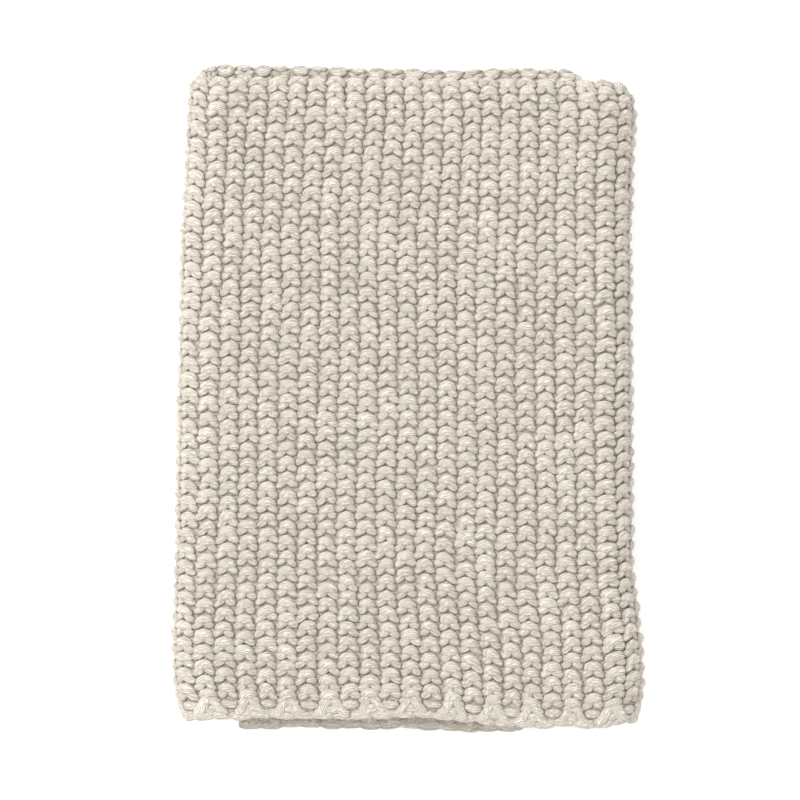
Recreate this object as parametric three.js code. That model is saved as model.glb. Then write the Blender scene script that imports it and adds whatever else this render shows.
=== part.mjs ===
// A square cotton dishcloth knitted in seed stitch, folded in half and then in thirds.
// Millimetres: +X to its right side, +Y to its folded end, +Z up, resting on z = 0.
import * as THREE from 'three';

const { clamp, lerp, smoothstep } = THREE.MathUtils;

// The knit
const THICK = 2.3; // one layer
const GAP = 0.45; // air between two layers
const RIB_HEIGHT = 0.45; // a column of stitches above the groove beside it
const STEPS_PER_WALE = 4; // a wale is one column of stitches
const TIGHT_FOLD_WALES = 3;
const TOP_PANEL_WALES = 20;
const WIDE_FOLD_WALES = 5;
const SCALLOP = 0.5; // wave of the free end, one for every two wales

// The fold in thirds, as if its sides were straight
const HALF_WIDTH = 44;
const INNER_FLAP_EDGE = 34.2; // x where the flap inside the fold ends
const OUTER_FLAP_EDGE = -33.5; // x where the flap underneath ends
const WIDE_FOLD_REACH = 4.2; // how far the middle of the wide fold bulges
const OVERHANG_START = -35.5; // left of this nothing lies below the inner flap
const DROOP = 1.6; // how far the tight fold hangs down there

// Free edges
const END_BULGE = 0.8; // roundness of a free end
const UNDER_LAYER_BACK = 0.6; // the second layer's free end stays behind the first
const SELVEDGE_ROUND = 1.1; // roundness of a flap's long edge
const SELVEDGE_FULLNESS = 0.5; // thickness left at that edge, as a share

// Two layers lie together everywhere, because the half fold was made first
const PAIR = 2 * THICK + GAP;
const LEVEL = PAIR + GAP;
const LAYER_MIDDLE = (THICK + GAP) / 2;
const OUTER_FLAP_Z = PAIR / 2;
const INNER_FLAP_Z = OUTER_FLAP_Z + LEVEL;
const TOP_PANEL_Z = INNER_FLAP_Z + LEVEL;
const TIGHT_FOLD_X = -HALF_WIDTH + (LEVEL + PAIR) / 2;
const WIDE_FOLD_X = HALF_WIDTH - WIDE_FOLD_REACH - PAIR / 2;

// Where faces begin and end, as shares of the run that they divide
const LEG_STOPS = [0, 0.06, 0.13, 0.24, 0.78, 1]; // from a free end to the half fold
const END_STOPS = [-0.5, 0.5]; // across half a layer, at a free end
const SELVEDGE_STOPS = [0, 0.3, 1]; // from a long edge to where its roundness ends
const INNER_FLAP_STOPS = [0.06, 0.35, 0.65];
const OUTER_FLAP_STOPS = [0, 0.13, 0.26, 0.4, 0.48, 0.55, 0.78];
const HALF_FOLD_STEPS = 8;
const INNER_FOLD_STEPS = 3;

// Ribs fade out between these values of the face's upward or outward share
const RIB_FADE_DOWN = { gone: -0.7, full: 0.1 };
const RIB_FADE_ROUND_HALF_FOLD = { gone: -0.5, full: 0.5 };

// Places along the fold in thirds are counted by section: 1.5 is halfway round the tight fold
const SECTION = { innerFlap: 0, tightFold: 1, topPanel: 2, wideFold: 3, outerFlap: 4 };

// Where the half fold and the free end lie: one row for each place along the thirds
const ENDS = [
  { at: SECTION.innerFlap, top: 63.2, bottom: -60.8 },
  { at: SECTION.innerFlap + 0.06, top: 63.9, bottom: -60.8 },
  { at: SECTION.tightFold, top: 64.2, bottom: -61.0 },
  { at: SECTION.tightFold + 0.25, top: 63.2, bottom: -61.2 },
  { at: SECTION.tightFold + 0.5, top: 59.7, bottom: -61.4 },
  { at: SECTION.topPanel, top: 61.8, bottom: -62.4 },
  { at: SECTION.topPanel + 0.15, top: 61.9, bottom: -61.5 },
  { at: SECTION.topPanel + 0.55, top: 61.6, bottom: -61.5 },
  { at: SECTION.topPanel + 0.85, top: 61.6, bottom: -63.4 },
  { at: SECTION.wideFold, top: 61.4, bottom: -63.2 },
  { at: SECTION.wideFold + 0.25, top: 61.0, bottom: -62.8 },
  { at: SECTION.wideFold + 0.5, top: 58.4, bottom: -61.9 },
  { at: SECTION.outerFlap, top: 60.8, bottom: -62.6 },
  { at: SECTION.outerFlap + 0.26, top: 61.2, bottom: -64.2 },
  { at: SECTION.outerFlap + 0.4, top: 61.2, bottom: -64.2 },
  { at: SECTION.outerFlap + 0.55, top: 61.2, bottom: -63.4 },
  { at: SECTION.outerFlap + 1, top: 61.2, bottom: -63.6 },
];

// Where the two sides lie: one row for each place along the length
const SIDES = [
  { at: -62, left: -43.2, right: 44.4 },
  { at: -55, left: -44.3, right: 45.0 },
  { at: -47, left: -44.7, right: 44.7 },
  { at: -33, left: -44.3, right: 43.3 },
  { at: 33, left: -42.7, right: 42.7 },
  { at: 58, left: -41.7, right: 43.7 },
];

// The two rows of a table that a place lies between
function rowsAround(table, at) {
  const found = table.findIndex((row) => row.at > at);
  const upper = found < 0 ? table.length - 1 : Math.max(found, 1);
  return [table[upper - 1], table[upper]];
}

// Reads one column of a table, easing from row to row
function readSmooth(table, at, column) {
  const [from, to] = rowsAround(table, at);
  return lerp(from[column], to[column], smoothstep(at, from.at, to.at));
}

// Reads one column of a table in straight stretches
function readStraight(table, at, column) {
  const [from, to] = rowsAround(table, at);
  return lerp(from[column], to[column], clamp((at - from.at) / (to.at - from.at), 0, 1));
}

// A flat run of the fold in thirds, whose outer face looks up or down
function flat(fromX, toX, z, facing) {
  return (along) => ({ x: lerp(fromX, toX, along), z, nx: 0, nz: facing });
}

// A half turn round (x, z) on the left side (-1) or the right side (1)
function turn(x, z, reachX, reachZ, side) {
  return (along) => {
    const across = side * Math.sin(Math.PI * along);
    const up = side * Math.cos(Math.PI * along);
    const normal = new THREE.Vector2(across / reachX, up / reachZ).normalize();
    return { x: x + reachX * across, z: z + reachZ * up, nx: normal.x, nz: normal.y };
  };
}

// Equal steps from 0 to 1
function equalStops(steps) {
  return Array.from({ length: steps + 1 }, (_, index) => index / steps);
}

// Stops of the inner flap from its long edge, with one where the overhang starts
function innerFlapStops() {
  const length = INNER_FLAP_EDGE - TIGHT_FOLD_X;
  const edge = SELVEDGE_STOPS.map((share) => share * SELVEDGE_ROUND / length);
  return [...edge, ...INNER_FLAP_STOPS, (INNER_FLAP_EDGE - OVERHANG_START) / length, 1];
}

// Stops of the outer flap up to its long edge
function outerFlapStops() {
  const length = WIDE_FOLD_X - OUTER_FLAP_EDGE;
  const edge = SELVEDGE_STOPS.map((share) => 1 - share * SELVEDGE_ROUND / length);
  return [...OUTER_FLAP_STOPS, ...edge.reverse()];
}

// The fold in thirds, from the inner flap's long edge round to the outer flap's
const THIRDS = [
  { stops: innerFlapStops(), at: flat(INNER_FLAP_EDGE, TIGHT_FOLD_X, INNER_FLAP_Z, -1) },
  {
    stops: equalStops(TIGHT_FOLD_WALES * STEPS_PER_WALE),
    at: turn(TIGHT_FOLD_X, (INNER_FLAP_Z + TOP_PANEL_Z) / 2, LEVEL / 2, LEVEL / 2, -1),
  },
  {
    stops: equalStops(TOP_PANEL_WALES * STEPS_PER_WALE),
    at: flat(TIGHT_FOLD_X, WIDE_FOLD_X, TOP_PANEL_Z, 1),
  },
  {
    stops: equalStops(WIDE_FOLD_WALES * STEPS_PER_WALE),
    at: turn(WIDE_FOLD_X, (OUTER_FLAP_Z + TOP_PANEL_Z) / 2, WIDE_FOLD_REACH, LEVEL, 1),
  },
  { stops: outerFlapStops(), at: flat(WIDE_FOLD_X, OUTER_FLAP_EDGE, OUTER_FLAP_Z, -1) },
];

// How thick the knit is near a flap's long edge, as a share
function fullness(place) {
  const toInnerEdge = place.section === SECTION.innerFlap ? INNER_FLAP_EDGE - place.x : SELVEDGE_ROUND;
  const toOuterEdge = place.section === SECTION.outerFlap ? place.x - OUTER_FLAP_EDGE : SELVEDGE_ROUND;
  const inside = Math.min(toInnerEdge, toOuterEdge, SELVEDGE_ROUND) / SELVEDGE_ROUND;
  return lerp(SELVEDGE_FULLNESS, 1, Math.sqrt(Math.max(inside, 0)));
}

// Height of the rib at a step: grooves between wales, on the faces that look up or sideways
function ribAt(step, facing) {
  const phase = (step % STEPS_PER_WALE) / STEPS_PER_WALE;
  const fade = smoothstep(facing, RIB_FADE_DOWN.gone, RIB_FADE_DOWN.full);
  return RIB_HEIGHT * (1 - Math.abs(1 - 2 * phase)) * fade;
}

// Every place along the thirds where the folded pair of layers is drawn
function places() {
  const all = [];
  THIRDS.forEach(({ stops, at }, section) => {
    const ribbed = section > SECTION.innerFlap && section < SECTION.outerFlap;
    const ownStops = section === SECTION.outerFlap ? stops : stops.slice(0, -1);
    ownStops.forEach((along, step) => {
      const place = { ...at(along), section, order: section + along };
      place.fullness = fullness(place);
      place.rib = ribbed ? ribAt(step, place.nz) : 0;
      place.scallop = ribbed ? SCALLOP * Math.sin(Math.PI * step / (2 * STEPS_PER_WALE)) ** 2 : 0;
      all.push(place);
    });
  });
  return all;
}

// Outline of the pair of layers at one place: n runs out of the pair's middle, y along the cloth
function hairpin(place) {
  const half = THICK * place.fullness / 2;
  const outer = LAYER_MIDDLE + half;
  const inner = LAYER_MIDDLE - half;
  const foldY = readSmooth(ENDS, place.order, 'top') - LAYER_MIDDLE - THICK / 2;
  const endY = readSmooth(ENDS, place.order, 'bottom') + END_BULGE + place.scallop;
  const underY = endY + UNDER_LAYER_BACK;
  const points = [];
  const leg = (n, end, stops) => stops.forEach((stop) => {
    points.push({ n, y: lerp(end, foldY, stop) });
  });
  const arc = (radius, rib, steps, from, to) => {
    equalStops(steps).slice(1, -1).forEach((along) => {
      const angle = lerp(from, to, along);
      const { gone, full } = RIB_FADE_ROUND_HALF_FOLD;
      const reach = radius + rib * smoothstep(Math.cos(angle), gone, full);
      points.push({ n: reach * Math.cos(angle), y: foldY + reach * Math.sin(angle) });
    });
  };
  const freeEnd = (n, y) => END_STOPS.forEach((stop) => {
    points.push({ n: n + stop * half, y: y - END_BULGE });
  });
  const down = [...LEG_STOPS].reverse();
  leg(outer + place.rib, endY, LEG_STOPS);
  arc(outer, place.rib, HALF_FOLD_STEPS, 0, Math.PI);
  leg(-outer, underY, down);
  freeEnd(-LAYER_MIDDLE, underY);
  leg(-inner, underY, LEG_STOPS);
  arc(inner, 0, INNER_FOLD_STEPS, Math.PI, 0);
  leg(inner, endY, down);
  freeEnd(LAYER_MIDDLE, endY);
  return points;
}

// Puts a point of the outline into space, between the two sides and with the droop
function intoSpace(place, { n, y }) {
  const x = place.x + place.nx * n;
  const across = (x + HALF_WIDTH) / (2 * HALF_WIDTH);
  const droop = DROOP * smoothstep(OVERHANG_START - x, 0, HALF_WIDTH + OVERHANG_START);
  return new THREE.Vector3(
    lerp(readStraight(SIDES, y, 'left'), readStraight(SIDES, y, 'right'), across),
    y,
    place.z + place.nz * n - droop,
  );
}

// Sweeps the outline along the thirds and closes it at the two long edges
function foldedCloth() {
  const stations = places();
  const outlines = stations.map(hairpin);
  const count = outlines[0].length;
  const points = stations.flatMap((place, i) => outlines[i].map((point) => intoSpace(place, point)));
  const faces = [];
  for (let i = 0; i + 1 < stations.length; i += 1) {
    for (let j = 0; j < count; j += 1) {
      const [a, b] = [i * count + j, i * count + (j + 1) % count];
      faces.push(a, b + count, b, a, a + count, b + count);
    }
  }
  const capOf = (outline) => THREE.ShapeUtils.triangulateShape(
    outline.map(({ n, y }) => new THREE.Vector2(n, y)), []);
  const lastRow = (stations.length - 1) * count;
  capOf(outlines[0]).forEach(([a, b, c]) => faces.push(a, b, c));
  capOf(outlines.at(-1)).forEach(([a, b, c]) => faces.push(lastRow + a, lastRow + c, lastRow + b));
  const geometry = new THREE.BufferGeometry().setFromPoints(points);
  geometry.setIndex(faces);
  return geometry;
}

// Sets the geometry on z = 0 with its box centred on the origin
function standOnOrigin(geometry) {
  geometry.computeBoundingBox();
  const { min, max } = geometry.boundingBox;
  return geometry.translate(-(min.x + max.x) / 2, -(min.y + max.y) / 2, -min.z);
}

const cottonKnit = new THREE.MeshStandardMaterial({ color: 0xd9cfc0, roughness: 0.95, metalness: 0 });
const dishcloth = new THREE.Mesh(standOnOrigin(foldedCloth()), cottonKnit);
dishcloth.name = 'dishcloth';

const group = new THREE.Group();
group.add(dishcloth);

export default group;
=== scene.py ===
"""A folded dishcloth in seed stitch: every stitch that shows is a loop of yarn laid on the folds."""
import math

import bpy
import numpy as np
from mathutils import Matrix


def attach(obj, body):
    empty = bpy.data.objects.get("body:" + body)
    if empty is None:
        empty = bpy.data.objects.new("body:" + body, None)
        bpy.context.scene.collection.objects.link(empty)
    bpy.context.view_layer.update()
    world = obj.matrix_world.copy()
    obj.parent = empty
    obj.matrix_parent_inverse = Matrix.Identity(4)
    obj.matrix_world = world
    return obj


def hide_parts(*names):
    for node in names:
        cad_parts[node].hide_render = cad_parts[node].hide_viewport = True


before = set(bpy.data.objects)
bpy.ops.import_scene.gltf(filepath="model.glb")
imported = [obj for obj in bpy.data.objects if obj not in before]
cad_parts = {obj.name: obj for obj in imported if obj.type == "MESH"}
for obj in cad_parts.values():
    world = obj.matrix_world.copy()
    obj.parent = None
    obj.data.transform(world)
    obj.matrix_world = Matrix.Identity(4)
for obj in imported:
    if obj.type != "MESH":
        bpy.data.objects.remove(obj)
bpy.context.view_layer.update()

MM = 0.001

# The layers and the fold in thirds, in millimetres, as in the solid
THICK = 2.3
GAP = 0.45
HALF_WIDTH = 44.0
INNER_FLAP_EDGE = 34.2
OUTER_FLAP_EDGE = -33.5
WIDE_FOLD_REACH = 4.2
OVERHANG_START = -35.5
DROOP = 1.6
UNDER_LAYER_BACK = 0.6
END_MARGIN = 1.0
BOX_MIDDLE_X = 0.156

PAIR = 2 * THICK + GAP
LEVEL = PAIR + GAP
LAYER_MIDDLE = (THICK + GAP) / 2
OUTER_FLAP_Z = PAIR / 2
INNER_FLAP_Z = OUTER_FLAP_Z + LEVEL
TOP_PANEL_Z = INNER_FLAP_Z + LEVEL
TIGHT_FOLD_X = -HALF_WIDTH + (LEVEL + PAIR) / 2
WIDE_FOLD_X = HALF_WIDTH - WIDE_FOLD_REACH - PAIR / 2

# Places along the thirds are counted by section, and each section has a length of cloth
INNER_FLAP, TIGHT_FOLD, TOP_PANEL, WIDE_FOLD, OUTER_FLAP, OUTER_EDGE = range(6)
SECTION_LENGTHS = [
    INNER_FLAP_EDGE - TIGHT_FOLD_X,
    math.pi * (LEVEL / 2 + LAYER_MIDDLE),
    WIDE_FOLD_X - TIGHT_FOLD_X,
    math.pi * math.hypot(WIDE_FOLD_REACH + LAYER_MIDDLE, LEVEL + LAYER_MIDDLE) / math.sqrt(2),
    WIDE_FOLD_X - OUTER_FLAP_EDGE,
]
SECTION_STARTS = np.concatenate([[0.0], np.cumsum(SECTION_LENGTHS)])
CLOTH_WIDTH = SECTION_STARTS[-1]

# Where the half fold and the free end lie, by place along the thirds, let out a little for the yarn
ENDS = {
    "at": [INNER_FLAP, INNER_FLAP + 0.06, INNER_FLAP + 0.22, INNER_FLAP + 0.36, INNER_FLAP + 0.5,
           INNER_FLAP + 0.8, TIGHT_FOLD, TIGHT_FOLD + 0.25, TIGHT_FOLD + 0.5,
           TOP_PANEL, TOP_PANEL + 0.15, TOP_PANEL + 0.55, TOP_PANEL + 0.85,
           WIDE_FOLD, WIDE_FOLD + 0.25, WIDE_FOLD + 0.5,
           OUTER_FLAP, OUTER_FLAP + 0.19, OUTER_FLAP + 0.24, OUTER_FLAP + 0.4, OUTER_FLAP + 0.55,
           OUTER_EDGE],
    "top": [63.6, 64.4, 64.5, 64.1, 64.4,
            64.9, 65.1, 64.8, 62.6,
            61.8, 61.9, 61.6, 61.6,
            61.4, 61.3, 60.4,
            60.8, 61.2, 61.2, 61.2, 61.2,
            61.2],
    "bottom": [-60.8, -60.8, -60.8, -60.8, -60.8,
               -60.8, -61.0, -61.4, -61.9,
               -61.6, -61.5, -61.5, -63.4,
               -63.2, -62.3, -62.4,
               -62.7, -63.0, -64.9, -65.0, -64.3,
               -64.4],
}

# Where the two sides lie, by place along the length
SIDES = {
    "at": [-62.0, -55.0, -47.0, -33.0, 33.0, 56.0, 62.0],
    "left": [-43.5, -44.8, -45.1, -44.6, -43.35, -42.0, -41.7],
    "right": [45.2, 45.8, 45.6, 43.9, 43.5, 44.4, 43.2],
}

# The stitches: a wale is a column, and a repeat is two rows, in which each wale shows one loop
WALES = 66
WALE = CLOTH_WIDTH / WALES
FIRST_WALE = 0.68
REPEAT = 3.0
LEG_REPEATS = 40
FOLD_REPEATS = 2.5
UNDER_START = LEG_REPEATS + FOLD_REPEATS
UNDER_END = UNDER_START + LEG_REPEATS

# Which wales and rows of loops are built where
FACE_WALES = range(18, 49)
FACE_STRIPS = 2
FIRST_LOOP_ROW = 2
LAST_LOOP_ROW = LEG_REPEATS + 2
BESIDE_FOLD_WALES = 3
PAST_FOLD_WALES = 4
PAST_FOLD_ROWS = 2
HALF_FOLD_ROWS = 4

# Stitches that face down are pressed flatter, to a share of their height
PRESSED_LIFT = 0.72
PRESSED_FACING = -0.7
FACING_RANGE = 0.8

# Slow waves of the stitches in the cloth: millimetres, and the repeats and millimetres of one wave
SIDEWAYS_WAVES = ((0.17, 17, 61), (0.10, 7.3, -23))
LENGTHWAYS_WAVES = ((0.16, 11, 29), (0.09, -31, 9.5))

# The stitches along a free end: rows in repeats from the end, and a shift in wales
EVEN_ROW = 1.15
ODD_ROW = 1.5
CHEVRON_ROW = 0.45
EVEN_BAR_ROW = 0.32
ODD_BAR_ROW = 0.58
BEAD_OUT = 0.05
BEAD_SHIFT = 0.57

# The beads along the two long edges: millimetres in from the edge, and repeats in from the free ends
INNER_BEAD_IN = 0.7
OUTER_BEAD_IN = 1.2
FIRST_SIDE_BEAD = 1.0
LAST_SIDE_BEAD_IN = 0.5

# The yarn of each stitch, as half of it from its middle
# Columns: across, along and off the cloth in millimetres, radius in the cloth, radius off it
CROWN = np.array([
    (0.00, 0.46, 0.96, 1.06, 0.80),
    (0.46, 0.42, 0.94, 1.02, 0.78),
    (0.88, 0.24, 0.84, 0.90, 0.71),
    (1.22, -0.04, 0.64, 0.70, 0.58),
    (1.44, -0.36, 0.38, 0.46, 0.44),
])
LEGS = np.array([
    (0.00, -0.15, 0.42, 0.62, 0.48),
    (0.36, -0.40, 0.56, 0.72, 0.56),
    (0.72, -0.68, 0.70, 0.78, 0.62),
    (1.10, -0.92, 0.72, 0.80, 0.63),
    (1.48, -1.10, 0.60, 0.76, 0.60),
    (1.88, -1.24, 0.32, 0.60, 0.48),
])
CHEVRON = np.array([
    (0.00, 1.62, 0.54, 0.82, 0.64),
    (0.40, 1.38, 0.62, 0.84, 0.68),
    (0.84, 0.82, 0.66, 0.88, 0.72),
    (1.28, 0.12, 0.66, 0.90, 0.74),
    (1.76, -0.58, 0.60, 0.92, 0.74),
    (2.30, -1.14, 0.46, 0.94, 0.70),
    (2.95, -1.48, 0.18, 0.80, 0.58),
])
BAR = np.array([
    (0.00, 0.00, 0.54, 0.92, 0.62),
    (0.50, 0.02, 0.52, 0.90, 0.60),
    (1.00, 0.08, 0.42, 0.80, 0.55),
    (1.55, 0.12, 0.12, 0.60, 0.44),
])
BEAD = np.array([
    (0.00, -0.04, 0.02, 0.92, 1.02),
    (0.80, -0.02, 0.02, 0.92, 1.00),
    (1.60, 0.06, -0.04, 0.84, 0.88),
    (2.30, 0.20, -0.14, 0.62, 0.62),
])
SIDE_BEAD = BEAD * np.array([REPEAT / WALE, 1.0, 1.0, 1.2, 1.0])
MIRROR = np.array([-1, 1, 1, 1, 1])

# Steps along a stitch and sides round it, and for loops both for the crown and for the legs
FINE_LOOP = ((8, 10), (12, 8))
COARSE_LOOP = ((6, 8), (10, 6))
LONG = (20, 12)
COARSE = (12, 8)

# The face of a layer that a stitch is on, and the share of its height on the inner face
OUTER_FACE = 1
INNER_FACE = -1
INNER_LIFT = 0.75

# How uneven the stitches are, and the seeds of the pieces
UNEVEN_THICKNESS = 0.05
UNEVEN_SIZE = 0.04
UNEVEN_LEAN = 0.05
UNEVEN_PLACE = 0.06
FACE_SEED = 10
UNDERSIDE_SEED = 31
INNER_FLAP_SEED = 32
EDGE_LOOPS_SEED = 41
EDGE_SEED = 43
UNDER_EDGE_SEED = 53
INNER_SIDE_SEED = 61
OUTER_SIDE_SEED = 62

# The thin sheet behind the loops: millimetres, ends in repeats, and its rows of points
GROUND_TOP = 0.35
GROUND_THICK = 1.1
GROUND_SIDE_IN = 0.8
GROUND_END_IN = 0.1
GROUND_LEG_ROWS = 41
GROUND_FOLD_ROWS = 13

# Free border of a tube's cell in the map for baking
CELL_MARGIN = 0.04

# Colours of the yarn, pale on its crests and with painted shade in the grooves between plies, and of the
# sheet behind it
YARN_LIGHT = (0.878, 0.82, 0.744)
# Painted shade: the yarn's colour in the low parts of its relief, between plies and fibres
YARN_GROOVE_SHADE = (0.60, 0.537, 0.461)
YARN_HUES = ((1.0, 0.98, 0.96), (0.98, 0.988, 0.968))
# Colours of the sheet, darker than the yarn: painted shade in the gaps between the loops
GAP_SHADE_LIGHT = (0.74, 0.67, 0.585)
GAP_SHADE_DARK = (0.60, 0.535, 0.455)
TINT_SHARE = 0.18
HUE_SCRAMBLE = 7.0

# Plies in a turn round the yarn, plies that pass in a millimetre along it, and their share in the relief
STRANDS = 14.0
STRAND_TWIST = 0.7
PLY_SHARE = 0.3

# Girth of the yarn in millimetres, and how far stitches lie apart in the pattern of the fibres
YARN_ROUND = 5.3
STITCH_OFFSET = 37.0

# Fibres: their pattern, the part of it that makes the relief, and the depth in millimetres
FIBRE_STRETCH = 0.45
FIBRE_SCALE = 1.9
FIBRE_DETAIL = 1.0
FIBRE_ROUGHNESS = 0.5
FIBRE_LOW = 0.41
FIBRE_HIGH = 0.57
FIBRE_DEPTH = 0.16

# How the yarn takes the light
YARN_ROUGHNESS = 0.92
YARN_SPECULAR = 0.2
YARN_SHEEN = 0.1
YARN_SHEEN_ROUGHNESS = 0.6

# Camera, with its place in millimetres
LENS = 200.0
SENSOR = 36.0
VIEW_WIDTH = 154.0
VIEW_X = -1.35
VIEW_Y = -0.1
VIEW_Z = 15.5

# Floor and light, in metres
FLOOR_SIZE = 4.0
FLOOR_COLOUR = (0.95, 0.95, 0.95, 1.0)
FLOOR_ROUGHNESS = 0.9
FLOOR_GLOW = 0.35
WHITE = (1.0, 1.0, 1.0, 1.0)
WORLD_STRENGTH = 0.8
KEY_PLACE = (-0.45, 0.3, 1.0)
KEY_SIZE = 0.7
KEY_ENERGY = 10.8


def ease(share):
    """Smooth step from 0 to 1."""
    share = np.clip(share, 0.0, 1.0)
    return share * share * (3.0 - 2.0 * share)


def read_smooth(table, at, column):
    """One column of a table, easing from row to row."""
    rows = np.array(table["at"], dtype=float)
    values = np.array(table[column], dtype=float)
    upper = np.clip(np.searchsorted(rows, at, side="right"), 1, len(rows) - 1)
    share = ease((at - rows[upper - 1]) / (rows[upper] - rows[upper - 1]))
    return values[upper - 1] + (values[upper] - values[upper - 1]) * share


def read_straight(table, at, column):
    """One column of a table in straight stretches."""
    return np.interp(at, table["at"], table[column])


def place_across(across):
    """Place along the thirds of a distance across the flat cloth, running on past the edges."""
    place = np.interp(across, SECTION_STARTS, range(len(SECTION_STARTS)))
    before = np.minimum(across, 0.0) / SECTION_LENGTHS[INNER_FLAP]
    after = np.maximum(across - CLOTH_WIDTH, 0.0) / SECTION_LENGTHS[OUTER_FLAP]
    return place + before + after


def turn(share, centre_x, centre_z, reach_x, reach_z, side):
    """Half turn of the fold in thirds: position and outward normal in the x-z plane."""
    across = side * np.sin(np.pi * share)
    up = side * np.cos(np.pi * share)
    length = np.hypot(across / reach_x, up / reach_z)
    return (centre_x + reach_x * across, centre_z + reach_z * up,
            across / reach_x / length, up / reach_z / length)


def thirds(place):
    """Middle line of the pair of layers and its outward normal at places along the thirds."""
    section = np.clip(np.floor(place), INNER_FLAP, OUTER_FLAP)
    share = place - section
    zero = np.zeros_like(place)
    one = np.ones_like(place)
    runs = [
        (INNER_FLAP_EDGE + (TIGHT_FOLD_X - INNER_FLAP_EDGE) * share, INNER_FLAP_Z * one, zero, -one),
        turn(share, TIGHT_FOLD_X, (INNER_FLAP_Z + TOP_PANEL_Z) / 2, LEVEL / 2, LEVEL / 2, -1),
        (TIGHT_FOLD_X + (WIDE_FOLD_X - TIGHT_FOLD_X) * share, TOP_PANEL_Z * one, zero, one),
        turn(share, WIDE_FOLD_X, (OUTER_FLAP_Z + TOP_PANEL_Z) / 2, WIDE_FOLD_REACH, LEVEL, 1),
        (WIDE_FOLD_X + (OUTER_FLAP_EDGE - WIDE_FOLD_X) * share, OUTER_FLAP_Z * one, zero, -one),
    ]
    chosen = [section == index for index in range(len(runs))]
    return [np.select(chosen, [run[part] for run in runs]) for part in range(4)]


def fold(across, row, height):
    """Carries points of the flat cloth onto the folded one, in metres.

    across is in millimetres from the inner flap's long edge, row in repeats from the outer layer's
    free end over the half fold to the under layer's, and height in millimetres off a layer's middle.
    """
    place = place_across(across)
    middle_x, middle_z, normal_x, normal_z = thirds(place)
    fold_y = read_smooth(ENDS, place, "top") - LAYER_MIDDLE - THICK / 2
    end_y = read_smooth(ENDS, place, "bottom") + END_MARGIN
    angle = np.pi * np.clip((row - LEG_REPEATS) / FOLD_REPEATS, 0.0, 1.0)
    reach = LAYER_MIDDLE + height
    outer_y = end_y + (fold_y - end_y) * np.minimum(row, LEG_REPEATS) / LEG_REPEATS
    under_share = (UNDER_END - np.maximum(row, UNDER_START)) / LEG_REPEATS
    under_y = end_y + UNDER_LAYER_BACK + (fold_y - end_y - UNDER_LAYER_BACK) * under_share
    y = np.where(row < LEG_REPEATS, outer_y, np.where(row > UNDER_START, under_y, fold_y))
    y = y + reach * np.sin(angle)
    out = reach * np.cos(angle)
    x = middle_x + normal_x * out
    droop = DROOP * ease((OVERHANG_START - x) / (HALF_WIDTH + OVERHANG_START))
    left = read_straight(SIDES, y, "left")
    right = read_straight(SIDES, y, "right")
    share = (x + HALF_WIDTH) / (2 * HALF_WIDTH)
    x = left + (right - left) * share - BOX_MIDDLE_X
    return np.stack([x, y, middle_z + normal_z * out - droop], axis=-1) * MM


def smooth_curve(points, count):
    """Catmull-Rom curve through rows of numbers, at equal steps of its control points."""
    padded = np.vstack([2 * points[0] - points[1], points, 2 * points[-1] - points[-2]])
    at = np.linspace(0, len(points) - 1, count)
    index = np.minimum(at.astype(int), len(points) - 2)
    t = (at - index)[:, None]
    p0, p1, p2, p3 = (padded[index + step] for step in range(4))
    return 0.5 * (2 * p1 + (p2 - p0) * t + (2 * p0 - 5 * p1 + 4 * p2 - p3) * t ** 2
                  + (3 * p1 - p0 - 3 * p2 + p3) * t ** 3)


def rings(points, sides):
    """Centre line of a yarn, the offsets of the points round it, and the length along it."""
    centre = points[:, :3]
    tangent = np.gradient(centre, axis=0)
    tangent /= np.linalg.norm(tangent, axis=1, keepdims=True)
    side = np.cross(np.array([0.0, 0.0, 1.0]), tangent)
    side /= np.linalg.norm(side, axis=1, keepdims=True)
    up = np.cross(tangent, side) * points[:, 4:5]
    side = side * points[:, 3:4]
    angle = 2 * np.pi * np.arange(sides) / sides - np.pi / 2
    offset = side[:, None] * np.cos(angle)[:, None] + up[:, None] * np.sin(angle)[:, None]
    step = np.linalg.norm(np.diff(centre, axis=0), axis=1)
    length = np.concatenate([[0.0], np.cumsum(step)])
    return centre, offset, length


def tube_faces(count, ring_count, sides):
    """Quads and end caps of several tubes with the same number of rings."""
    first = (np.arange(count) * ring_count * sides)[:, None, None]
    ring, side = np.meshgrid(np.arange(ring_count - 1), np.arange(sides), indexing="ij")
    a = (ring * sides + side).ravel()
    b = (ring * sides + (side + 1) % sides).ravel()
    quads = (np.stack([a, b, b + sides, a + sides], axis=-1)[None] + first).reshape(-1, 4)
    near = np.arange(sides)[::-1]
    far = np.arange(sides) + (ring_count - 1) * sides
    caps = (np.stack([near, far])[None] + first).reshape(-1, sides)
    return quads, caps


def strand_map(count, length, sides):
    """For each corner of tube_faces: millimetres along the yarn and turns round it."""
    ring_count = len(length)
    ring, side = np.meshgrid(np.arange(ring_count - 1), np.arange(sides), indexing="ij")
    ring, side = ring.ravel(), side.ravel()
    along = np.stack([length[ring], length[ring], length[ring + 1], length[ring + 1]], axis=-1)
    turns = np.stack([side, side + 1, side + 1, side], axis=-1) / sides
    quads = np.tile(np.stack([along, turns], axis=-1).reshape(-1, 2), (count, 1))
    around = np.arange(sides) / sides
    near = np.stack([np.zeros(sides), around[::-1]], axis=-1)
    far = np.stack([np.full(sides, length[-1]), around], axis=-1)
    caps = np.tile(np.concatenate([near, far]), (count, 1))
    return np.concatenate([quads, caps])


def bake_map(strands, count, length, sides):
    """The same corners in a grid of cells, one for each tube, so that none overlap."""
    columns = math.ceil(math.sqrt(count))
    quad_corners = (len(length) - 1) * sides * 4
    tube_of = np.concatenate([np.repeat(np.arange(count), quad_corners),
                              np.repeat(np.arange(count), 2 * sides)])
    cell = np.stack([tube_of % columns, tube_of // columns], axis=-1)
    inside = strands / np.array([length[-1], 1.0])
    return (cell + CELL_MARGIN + (1 - 2 * CELL_MARGIN) * inside) / columns


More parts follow.
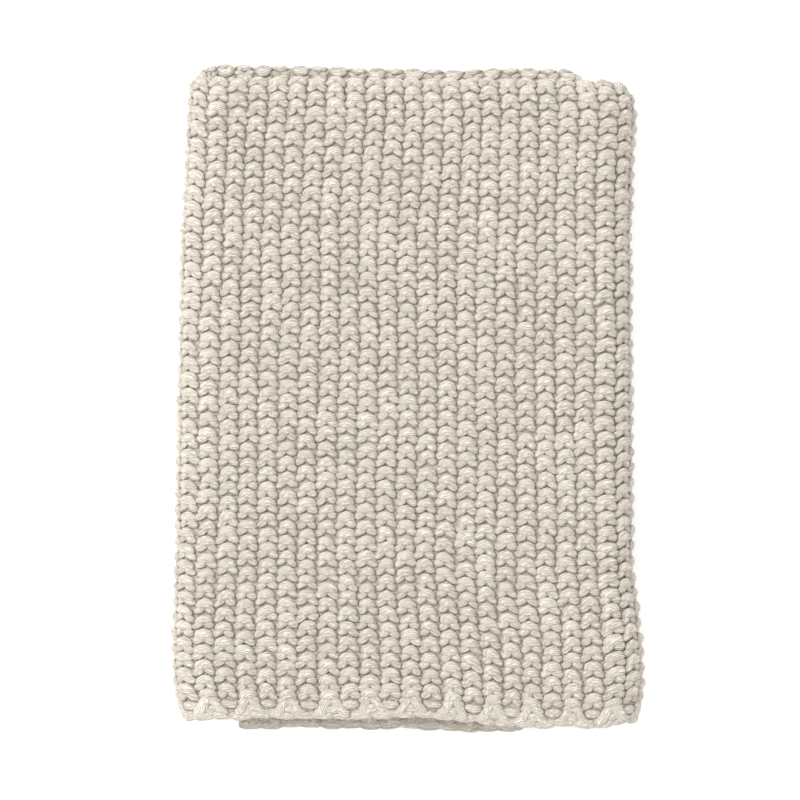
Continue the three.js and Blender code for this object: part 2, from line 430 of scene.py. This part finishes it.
def sheet_faces(n_columns, n_rows):
    """Quads of the two faces of a sheet, and of the wall round its four edges."""
    count = n_columns * n_rows
    column, row = np.meshgrid(np.arange(n_columns - 1), np.arange(n_rows - 1), indexing="ij")
    a = (column * n_rows + row).ravel()
    top = np.stack([a, a + n_rows, a + n_rows + 1, a + 1], axis=-1)
    under = np.stack([a, a + 1, a + n_rows + 1, a + n_rows], axis=-1) + count
    last = (n_columns - 1) * n_rows
    rim = np.concatenate([
        np.arange(0, last, n_rows),
        np.arange(last, last + n_rows - 1),
        np.arange(last + n_rows - 1, n_rows - 1, -n_rows),
        np.arange(n_rows - 1, 0, -1),
    ])
    following = np.roll(rim, -1)
    wall = np.stack([rim, rim + count, following + count, following], axis=-1)
    return np.concatenate([top, under, wall])


def mesh_object(name, vertices, face_groups, material):
    """Smooth object from arrays of faces, each array with its own number of corners."""
    corners = np.concatenate([group.ravel() for group in face_groups])
    sizes = np.concatenate([np.full(len(group), group.shape[1]) for group in face_groups])
    starts = np.concatenate([[0], np.cumsum(sizes)[:-1]])
    mesh = bpy.data.meshes.new(name)
    mesh.vertices.add(len(vertices))
    mesh.vertices.foreach_set("co", vertices.astype(np.float32).ravel())
    mesh.loops.add(len(corners))
    mesh.loops.foreach_set("vertex_index", corners.astype(np.int32))
    mesh.polygons.add(len(sizes))
    mesh.polygons.foreach_set("loop_start", starts.astype(np.int32))
    mesh.update(calc_edges=True)
    mesh.shade_smooth()
    mesh.materials.append(material)
    piece = bpy.data.objects.new(name, mesh)
    bpy.context.scene.collection.objects.link(piece)
    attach(piece, "root")
    return piece


def add_map(piece, name, values):
    """UV map from one pair of numbers for each corner."""
    layer = piece.data.uv_layers.new(name=name)
    layer.data.foreach_set("uv", values.astype(np.float32).ravel())


def add_tint(piece, values):
    """How light each vertex is, as a named number."""
    attribute = piece.data.attributes.new("tint", "FLOAT", "POINT")
    attribute.data.foreach_set("value", values.astype(np.float32))


def wander(waves, across, row):
    """Sum of slow waves over the flat cloth, in millimetres."""
    return sum(amount * np.sin(2 * np.pi * (row / repeats + across / width))
               for amount, repeats, width in waves)


def yarn_piece(name, across, row, height, length, material, rng):
    """One object of tubes: arrays of tube, ring and side, in the flat cloth's coordinates."""
    count, ring_count, sides = height.shape
    facing = thirds(place_across(across))[3]
    lift = PRESSED_LIFT + (1.0 - PRESSED_LIFT) * ease((facing - PRESSED_FACING) / FACING_RANGE)
    moved_across = across + wander(SIDEWAYS_WAVES, across, row)
    moved_row = row + wander(LENGTHWAYS_WAVES, across, row) / REPEAT
    vertices = fold(moved_across, moved_row, height * lift).reshape(-1, 3)
    vertices[:, 2] = np.maximum(vertices[:, 2], 0.0)
    piece = mesh_object(name, vertices, tube_faces(count, ring_count, sides), material)
    strands = strand_map(count, length, sides)
    add_map(piece, "strands", strands)
    add_map(piece, "OFBake", bake_map(strands, count, length, sides))
    add_tint(piece, np.repeat(rng.uniform(0.0, 1.0, count), ring_count * sides))
    return piece


def mirrored(half):
    """Whole stitch from the half that starts in its middle."""
    return np.vstack([half[:0:-1] * MIRROR, half])


def stitches(name, path, detail, wales, rows, material, seed, face=OUTER_FACE, quarter_turns=0):
    """One piece with the same stitch at many wales and rows, each a little uneven."""
    steps, sides = detail
    rng = np.random.default_rng(seed)
    count = len(wales)
    centre, offset, length = rings(smooth_curve(path, steps + 1), sides)

    def vary(amount):
        return rng.normal(0.0, amount, count)[:, None, None]

    local = centre[None, :, None, :] + offset[None] * (1.0 + vary(UNEVEN_THICKNESS))[..., None]
    across, along, height = local[..., 0], local[..., 1], local[..., 2]
    height = height + vary(UNEVEN_LEAN) * across + vary(UNEVEN_PLACE)
    across = across * (1.0 + vary(UNEVEN_SIZE)) + vary(UNEVEN_LEAN) * along + vary(UNEVEN_PLACE)
    along = along * (1.0 + vary(UNEVEN_SIZE)) + vary(UNEVEN_LEAN) * across + vary(UNEVEN_PLACE)
    if face == INNER_FACE:
        across, height = -across, -INNER_LIFT * height
    for _ in range(quarter_turns):
        across, along = -along, across
    across = across + ((wales + FIRST_WALE) * WALE)[:, None, None]
    row = rows[:, None, None] + along / REPEAT
    return yarn_piece(name, across, row, height, length, material, rng)


def grid(wales, first_row, last_row):
    """Wales and rows of loops in seed stitch: every other wale is half a repeat on."""
    wale, row = np.meshgrid(np.array(wales), np.arange(first_row, last_row + 1), indexing="ij")
    return wale.ravel(), (row + 0.5 * (wale % 2)).ravel()


def feed(tree, socket, value):
    """Links another socket to a shader socket, or sets it to a number."""
    if isinstance(value, bpy.types.NodeSocket):
        tree.links.new(value, socket)
    else:
        socket.default_value = value


def add_node(tree, kind, inputs):
    """New shader node with its inputs by name."""
    node = tree.nodes.new(kind)
    for name, value in inputs.items():
        feed(tree, node.inputs[name], value)
    return node


def calculate(tree, operation, *values):
    """Result of a math node."""
    node = tree.nodes.new("ShaderNodeMath")
    node.operation = operation
    for socket, value in zip(node.inputs, values):
        feed(tree, socket, value)
    return node.outputs["Value"]


def ramp(tree, share, first, last):
    """Colour between two, by a share."""
    node = add_node(tree, "ShaderNodeValToRGB", {"Fac": share})
    node.color_ramp.elements[0].color = (*first, 1.0)
    node.color_ramp.elements[1].color = (*last, 1.0)
    return node.outputs["Color"]


def stitch_tint(tree):
    """The number from 0 to 1 that each stitch has as its own."""
    node = tree.nodes.new("ShaderNodeAttribute")
    node.attribute_name = "tint"
    return node.outputs["Fac"]


def yarn_relief(tree, tint):
    """Height of the twisted plies and of the fibres on them, different on each stitch."""
    strands = tree.nodes.new("ShaderNodeUVMap")
    strands.uv_map = "strands"
    place = add_node(tree, "ShaderNodeSeparateXYZ", {"Vector": strands.outputs["UV"]}).outputs
    along = calculate(tree, "ADD", place["X"], calculate(tree, "MULTIPLY", tint, STITCH_OFFSET))
    around = calculate(tree, "MULTIPLY", place["Y"], STRANDS)
    phase = calculate(tree, "ADD", around, calculate(tree, "MULTIPLY", along, STRAND_TWIST))
    stretched = calculate(tree, "MULTIPLY", along, FIBRE_STRETCH)
    fibre_place = add_node(tree, "ShaderNodeCombineXYZ", {"X": stretched, "Y": phase})
    fibre = add_node(tree, "ShaderNodeTexNoise", {
        "Vector": fibre_place.outputs["Vector"],
        "Scale": FIBRE_SCALE,
        "Detail": FIBRE_DETAIL,
        "Roughness": FIBRE_ROUGHNESS,
    })
    crest = add_node(tree, "ShaderNodeMapRange", {
        "Value": fibre.outputs["Fac"],
        "From Min": FIBRE_LOW,
        "From Max": FIBRE_HIGH,
    })
    ply = calculate(tree, "SINE", calculate(tree, "MULTIPLY", phase, 2 * math.pi))
    ply_height = calculate(tree, "MULTIPLY", ply, PLY_SHARE)
    return calculate(tree, "ADD", crest.outputs["Result"], ply_height)


def yarn_colour(tree, relief, tint, light, groove_shade):
    """Colour that follows the relief, darker where it is low as painted shade between plies and fibres,
    with its own shade and hue on each stitch.
    """
    from_relief = calculate(tree, "MULTIPLY", relief, 1.0 - TINT_SHARE)
    shade = calculate(tree, "ADD", from_relief, calculate(tree, "MULTIPLY", tint, TINT_SHARE))
    hue_share = calculate(tree, "FRACT", calculate(tree, "MULTIPLY", tint, HUE_SCRAMBLE))
    mixed = tree.nodes.new("ShaderNodeMix")
    mixed.data_type = "RGBA"
    mixed.blend_type = "MULTIPLY"
    feed(tree, mixed.inputs["Factor"], 1.0)
    feed(tree, mixed.inputs["A"], ramp(tree, shade, groove_shade, light))
    feed(tree, mixed.inputs["B"], ramp(tree, hue_share, *YARN_HUES))
    return mixed.outputs["Result"]


def knit_material(name, light, groove_shade):
    """Cotton yarn: strands twisted round its length, with fine fibres."""
    material = bpy.data.materials.new(name)
    material.use_nodes = True
    tree = material.node_tree
    tint = stitch_tint(tree)
    relief = yarn_relief(tree, tint)
    bump = add_node(tree, "ShaderNodeBump", {
        "Height": relief,
        "Strength": 1.0,
        "Distance": FIBRE_DEPTH * MM,
    })
    looks = {
        # The base colour carries painted shade where the relief is low, mixed with each stitch's own
        # random shade
        "Base Color": yarn_colour(tree, relief, tint, light, groove_shade),
        "Normal": bump.outputs["Normal"],
        "Roughness": YARN_ROUGHNESS,
        "Specular IOR Level": YARN_SPECULAR,
        "Sheen Weight": YARN_SHEEN,
        "Sheen Roughness": YARN_SHEEN_ROUGHNESS,
    }
    shader = tree.nodes["Principled BSDF"]
    for socket, value in looks.items():
        feed(tree, shader.inputs[socket], value)
    return material


def ground(material):
    """Thin folded sheet behind the loops, closed round its four edges."""
    columns = np.linspace(GROUND_SIDE_IN, CLOTH_WIDTH - GROUND_SIDE_IN, 2 * WALES + 1)
    rows = np.concatenate([
        np.linspace(GROUND_END_IN, LEG_REPEATS, GROUND_LEG_ROWS),
        np.linspace(LEG_REPEATS, UNDER_START, GROUND_FOLD_ROWS)[1:],
        np.linspace(UNDER_START, UNDER_END - GROUND_END_IN, GROUND_LEG_ROWS)[1:],
    ])
    across, row = np.meshgrid(columns, rows, indexing="ij")
    outer = fold(across, row, np.full_like(across, GROUND_TOP))
    inner = fold(across, row, np.full_like(across, GROUND_TOP - GROUND_THICK))
    vertices = np.concatenate([outer.reshape(-1, 3), inner.reshape(-1, 3)])
    faces = sheet_faces(len(columns), len(rows))
    piece = mesh_object("knit_ground", vertices, [faces], material)
    flat = np.stack([across.ravel(), row.ravel() * REPEAT / YARN_ROUND], axis=-1)
    add_map(piece, "strands", flat[faces.ravel() % across.size])
    add_tint(piece, np.zeros(2 * across.size))
    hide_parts("dishcloth")
    return piece


def loops(name, wales, rows, details, material, seed):
    """Loops of the seed stitch: a rounded crown, and two legs that spread out below it."""
    crown_detail, leg_detail = details
    return [
        stitches(f"{name}_crowns", mirrored(CROWN), crown_detail, wales, rows, material, seed),
        stitches(f"{name}_legs", mirrored(LEGS), leg_detail, wales, rows, material, seed),
    ]


def face_pieces(material):
    """Loops of the panel on top and round both side folds, in strips of wales."""
    pieces = []
    for index, wales in enumerate(np.array_split(np.array(FACE_WALES), FACE_STRIPS)):
        wale, row = grid(wales, FIRST_LOOP_ROW, LAST_LOOP_ROW)
        pieces += loops(f"knit_face_{index + 1}", wale, row, FINE_LOOP, material, FACE_SEED + index)
    return pieces


def flap_pieces(material):
    """Loops of the two flaps: the whole underside, and what shows of the flap inside."""
    first = FACE_WALES[0]
    underside = grid(range(FACE_WALES[-1] + 1, WALES - 1), FIRST_LOOP_ROW, LAST_LOOP_ROW)
    half_fold_row = LAST_LOOP_ROW - HALF_FOLD_ROWS
    inside = [
        grid(range(first - BESIDE_FOLD_WALES, first), FIRST_LOOP_ROW, half_fold_row - 1),
        grid(range(0, first), half_fold_row, LAST_LOOP_ROW),
        grid(range(0, first + PAST_FOLD_WALES), LAST_LOOP_ROW + 1, LAST_LOOP_ROW + PAST_FOLD_ROWS),
    ]
    inner_flap = [np.concatenate(part) for part in zip(*inside)]
    return (loops("knit_underside", *underside, COARSE_LOOP, material, UNDERSIDE_SEED)
            + loops("knit_inner_flap", *inner_flap, COARSE_LOOP, material, INNER_FLAP_SEED))


def free_end(name, end_row, direction, material, seed):
    """Stitches of one free end on both faces: chevrons, bars in and between them, and a row of beads."""
    even = np.arange(2, WALES - 1, 2)
    every = np.arange(1, WALES - 1)
    beads = np.arange(0, WALES - 1) + BEAD_SHIFT
    chevron_rows = np.full(len(even), end_row + direction * CHEVRON_ROW)
    bar_rows = end_row + direction * np.where(every % 2 == 0, EVEN_BAR_ROW, ODD_BAR_ROW)
    bead_rows = np.full(len(beads), end_row - direction * BEAD_OUT)
    quarter_turns = 0 if direction > 0 else 2
    pieces = []
    for label, face, detail in (("", OUTER_FACE, LONG), ("_inside", INNER_FACE, COARSE)):
        pieces.append(stitches(f"{name}{label}_chevrons", mirrored(CHEVRON), detail, even, chevron_rows,
                               material, seed, face, quarter_turns))
        pieces.append(stitches(f"{name}{label}_bars", mirrored(BAR), COARSE, every, bar_rows,
                               material, seed + 1, face, quarter_turns))
        seed += 2
    pieces.append(stitches(f"{name}_beads", mirrored(BEAD), COARSE, beads, bead_rows,
                           material, seed, OUTER_FACE, quarter_turns))
    return pieces


def side_beads(name, across, material, seed, quarter_turns):
    """Row of beads down one long edge, over the half fold, at a distance across the flat cloth."""
    rows = np.arange(FIRST_SIDE_BEAD, UNDER_END - LAST_SIDE_BEAD_IN)
    wales = np.full(len(rows), across / WALE - FIRST_WALE)
    return stitches(name, mirrored(SIDE_BEAD), COARSE, wales, rows, material, seed, OUTER_FACE,
                    quarter_turns)


def edge_pieces(material):
    """Stitches of the two free ends and the two long edges."""
    wales = np.arange(0, WALES - 1)
    last_rows = np.where(wales % 2 == 0, EVEN_ROW, ODD_ROW)
    return [
        *loops("edge_loops", wales, last_rows, FINE_LOOP, material, EDGE_LOOPS_SEED),
        *free_end("edge", 0, 1, material, EDGE_SEED),
        *free_end("under_edge", UNDER_END, -1, material, UNDER_EDGE_SEED),
        side_beads("inner_flap_edge", INNER_BEAD_IN, material, INNER_SIDE_SEED, quarter_turns=3),
        side_beads("outer_flap_edge", CLOTH_WIDTH - OUTER_BEAD_IN, material, OUTER_SIDE_SEED,
                   quarter_turns=1),
    ]


def floor():
    """Plain pale floor that glows a little, so that it stays white round the cloth."""
    bpy.ops.mesh.primitive_plane_add(size=FLOOR_SIZE)
    plane = bpy.context.object
    plane.name = "floor"
    material = bpy.data.materials.new("floor")
    material.use_nodes = True
    shader = material.node_tree.nodes["Principled BSDF"]
    shader.inputs["Base Color"].default_value = FLOOR_COLOUR
    shader.inputs["Roughness"].default_value = FLOOR_ROUGHNESS
    shader.inputs["Emission Color"].default_value = WHITE
    shader.inputs["Emission Strength"].default_value = FLOOR_GLOW
    plane.data.materials.append(material)


def camera():
    """Long lens straight above, framed as in the photograph."""
    data = bpy.data.cameras.new("camera")
    data.lens = LENS
    data.sensor_width = SENSOR
    eye = bpy.data.objects.new("camera", data)
    bpy.context.scene.collection.objects.link(eye)
    distance = VIEW_WIDTH * MM * LENS / SENSOR
    eye.location = (VIEW_X * MM, VIEW_Y * MM, VIEW_Z * MM + distance)
    bpy.context.scene.camera = eye


def lights():
    """Bright room and one large soft light from the upper left."""
    world = bpy.data.worlds.new("studio")
    bpy.context.scene.world = world
    world.use_nodes = True
    background = world.node_tree.nodes["Background"]
    background.inputs["Color"].default_value = WHITE
    background.inputs["Strength"].default_value = WORLD_STRENGTH
    data = bpy.data.lights.new("key", "AREA")
    data.size = KEY_SIZE
    data.energy = KEY_ENERGY
    key = bpy.data.objects.new("key", data)
    key.location = KEY_PLACE
    bpy.context.scene.collection.objects.link(key)
    key.rotation_euler = (-key.location).to_track_quat("-Z", "Y").to_euler()


def main():
    """Builds the cloth, the floor, the camera and the light."""
    yarn = knit_material("cotton_yarn", YARN_LIGHT, YARN_GROOVE_SHADE)
    # The sheet behind the loops takes darker colours, which are painted shade for the gaps between loops
    gap_shade = knit_material("cotton_gap_shade", GAP_SHADE_LIGHT, GAP_SHADE_DARK)
    sheet = ground(gap_shade)
    pieces = face_pieces(yarn) + flap_pieces(yarn) + edge_pieces(yarn)
    floor()
    camera()
    lights()
    bpy.context.scene.view_settings.view_transform = "Standard"


main()
